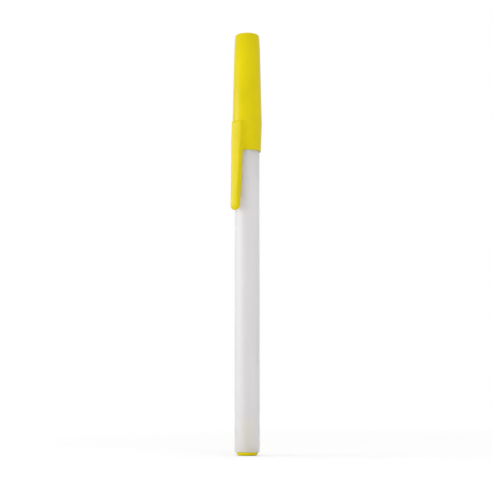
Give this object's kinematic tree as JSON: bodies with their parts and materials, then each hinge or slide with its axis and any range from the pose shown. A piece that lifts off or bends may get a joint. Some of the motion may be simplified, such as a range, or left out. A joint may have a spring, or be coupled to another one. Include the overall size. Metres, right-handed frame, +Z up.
{
  "type": "ballpoint pen",
  "caption": "Capped stick ballpoint pen with a frosted tube barrel, a pull-off cap with an integral clip, and a domed end plug.",
  "frame": {"origin": "centre of the end plug's flat face, on which the pen stands", "axes": "+Z runs up the pen towards the cap's crown, and the clip points to -Y"},
  "size_m": [0.0104, 0.0127, 0.146],
  "materials": {
    "yellow_polypropylene": "moulded gloss",
    "frosted_polypropylene": "frosted translucent",
    "natural_polypropylene": "milky extruded",
    "follower_grease": "clear amber",
    "black_ink": "wet",
    "turned_brass": "turned",
    "tungsten_carbide": "polished"
  },
  "bodies": {
    "pen": {"end_plug": "yellow_polypropylene", "barrel": "frosted_polypropylene", "ink_tube": "natural_polypropylene", "grease_follower": "follower_grease", "ink": "black_ink", "tip_holder": "frosted_polypropylene", "point_socket": "turned_brass"},
    "cap": {"cap": "yellow_polypropylene"},
    "ball": {"ball": "tungsten_carbide"}
  },
  "joints": [
    {"name": "cap_slide", "type": "slide", "parent": "pen", "child": "cap", "axis": [0, 0, 1], "range_m": [0, 0.06]},
    {"name": "ball_roll", "type": "hinge", "parent": "pen", "child": "ball", "pos_m": [0, 0, 0.13878], "axis": [1, 0, 0], "continuous": true}
  ]
}
